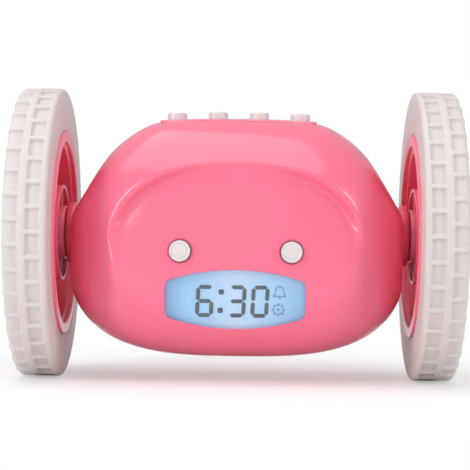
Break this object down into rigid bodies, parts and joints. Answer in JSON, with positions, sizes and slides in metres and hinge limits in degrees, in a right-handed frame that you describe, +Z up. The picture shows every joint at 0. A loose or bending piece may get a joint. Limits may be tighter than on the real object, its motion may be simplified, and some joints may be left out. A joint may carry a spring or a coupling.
{
  "type": "runaway alarm clock",
  "caption": "Rolling alarm clock: a rounded pink housing with a display and push buttons, carried between two geared, treaded wheels on one axle line.",
  "frame": {"origin": "on the ground, under the middle of the axle line", "axes": "+Z up, -Y out of the face with the display, +X along the axle line to the right as seen from the front"},
  "size_m": [0.133, 0.089, 0.089],
  "materials": {
    "pink_shell": "gloss",
    "pink_panel": "gloss",
    "red_collar": "gloss",
    "pink_rim": "gloss",
    "white_tyre": "matte",
    "white_button": "satin",
    "window": "gloss",
    "lcd_glass": "gloss",
    "light_guide": "satin",
    "grey_plastic": "satin",
    "elastomer": "matte",
    "circuit_board": "satin",
    "black_plastic": "satin",
    "steel": "satin",
    "cell_wrap": "satin",
    "motor_steel": "satin",
    "white_gear": "satin",
    "brass": "satin"
  },
  "bodies": {
    "housing": {"front_shell": "pink_shell", "rear_shell": "pink_shell", "top_panel": "pink_panel", "housing_screws": "steel", "axle_bush_left": "red_collar", "axle_bush_right": "red_collar", "lcd_window": "window", "lcd_holder": "grey_plastic", "lcd_glass": "lcd_glass", "lcd_backlight": "light_guide", "lcd_connector": "elastomer", "display_board": "circuit_board", "eye_switches": "black_plastic", "top_board": "circuit_board", "top_switches": "black_plastic", "main_board": "circuit_board", "board_chips": "black_plastic", "speaker": "black_plastic", "speaker_ring": "grey_plastic", "battery_tray": "grey_plastic", "batteries": "cell_wrap", "battery_contacts": "steel", "gearbox_case_left": "grey_plastic", "gearbox_case_right": "grey_plastic", "gearbox_cover_left": "grey_plastic", "gearbox_cover_right": "grey_plastic", "gearbox_screws": "steel", "motor_left": "motor_steel", "motor_right": "motor_steel", "gear_pins": "steel"},
    "wheel_left": {"wheel_rim_left": "pink_rim", "tyre_left": "white_tyre", "hub_cap_left": "pink_rim", "wheel_screw_left": "steel", "axle_left": "steel", "output_gear_left": "white_gear"},
    "second_gear_left": {"gear_2_left": "white_gear"},
    "first_gear_left": {"gear_1_left": "white_gear"},
    "motor_rotor_left": {"motor_shaft_left": "steel", "pinion_left": "brass"},
    "eye_button_left": {"eye_button_left": "white_button"},
    "wheel_right": {"wheel_rim_right": "pink_rim", "tyre_right": "white_tyre", "hub_cap_right": "pink_rim", "wheel_screw_right": "steel", "axle_right": "steel", "output_gear_right": "white_gear"},
    "second_gear_right": {"gear_2_right": "white_gear"},
    "first_gear_right": {"gear_1_right": "white_gear"},
    "motor_rotor_right": {"motor_shaft_right": "steel", "pinion_right": "brass"},
    "eye_button_right": {"eye_button_right": "white_button"},
    "top_button_1": {"top_button_1": "white_button"},
    "top_button_2": {"top_button_2": "white_button"},
    "top_button_3": {"top_button_3": "white_button"},
    "top_button_4": {"top_button_4": "white_button"},
    "battery_door": {"battery_door": "pink_shell", "battery_door_screw": "steel"}
  },
  "joints": [
    {"name": "wheel_spin_left", "type": "hinge", "parent": "housing", "child": "wheel_left", "pos_m": [0, 0, 0.0445], "axis": [1, 0, 0], "continuous": true},
    {"name": "second_gear_spin_left", "type": "hinge", "parent": "housing", "child": "second_gear_left", "pos_m": [0, 0.00822, 0.03509], "axis": [1, 0, 0], "continuous": true},
    {"name": "first_gear_spin_left", "type": "hinge", "parent": "housing", "child": "first_gear_left", "pos_m": [0, -0.00252, 0.02869], "axis": [1, 0, 0], "continuous": true},
    {"name": "motor_spin_left", "type": "hinge", "parent": "housing", "child": "motor_rotor_left", "pos_m": [0, -0.013, 0.0355], "axis": [1, 0, 0], "continuous": true},
    {"name": "eye_press_left", "type": "slide", "parent": "housing", "child": "eye_button_left", "axis": [0, 1, 0], "range_m": [0, 0.0009], "stiffness_N_per_m": 800, "springref_m": -0.0009},
    {"name": "wheel_spin_right", "type": "hinge", "parent": "housing", "child": "wheel_right", "pos_m": [0, 0, 0.0445], "axis": [1, 0, 0], "continuous": true},
    {"name": "second_gear_spin_right", "type": "hinge", "parent": "housing", "child": "second_gear_right", "pos_m": [0, 0.00822, 0.03509], "axis": [1, 0, 0], "continuous": true},
    {"name": "first_gear_spin_right", "type": "hinge", "parent": "housing", "child": "first_gear_right", "pos_m": [0, -0.00252, 0.02869], "axis": [1, 0, 0], "continuous": true},
    {"name": "motor_spin_right", "type": "hinge", "parent": "housing", "child": "motor_rotor_right", "pos_m": [0, -0.013, 0.0355], "axis": [1, 0, 0], "continuous": true},
    {"name": "eye_press_right", "type": "slide", "parent": "housing", "child": "eye_button_right", "axis": [0, 1, 0], "range_m": [0, 0.0009], "stiffness_N_per_m": 800, "springref_m": -0.0009},
    {"name": "top_press_1", "type": "slide", "parent": "housing", "child": "top_button_1", "axis": [0, 0, -1], "range_m": [0, 0.0009], "stiffness_N_per_m": 800, "springref_m": -0.0009},
    {"name": "top_press_2", "type": "slide", "parent": "housing", "child": "top_button_2", "axis": [0, 0, -1], "range_m": [0, 0.0009], "stiffness_N_per_m": 800, "springref_m": -0.0009},
    {"name": "top_press_3", "type": "slide", "parent": "housing", "child": "top_button_3", "axis": [0, 0, -1], "range_m": [0, 0.0009], "stiffness_N_per_m": 800, "springref_m": -0.0009},
    {"name": "top_press_4", "type": "slide", "parent": "housing", "child": "top_button_4", "axis": [0, 0, -1], "range_m": [0, 0.0009], "stiffness_N_per_m": 800, "springref_m": -0.0009},
    {"name": "battery_door_lift", "type": "slide", "parent": "housing", "child": "battery_door", "axis": [0, 0.788, -0.6157], "range_m": [0, 0.006]}
  ],
  "couplings": [
    {"joint": "second_gear_spin_left", "follows": "wheel_spin_left", "ratio": -4},
    {"joint": "first_gear_spin_left", "follows": "wheel_spin_left", "ratio": 16},
    {"joint": "motor_spin_left", "follows": "wheel_spin_left", "ratio": -64},
    {"joint": "second_gear_spin_right", "follows": "wheel_spin_right", "ratio": -4},
    {"joint": "first_gear_spin_right", "follows": "wheel_spin_right", "ratio": 16},
    {"joint": "motor_spin_right", "follows": "wheel_spin_right", "ratio": -64}
  ]
}
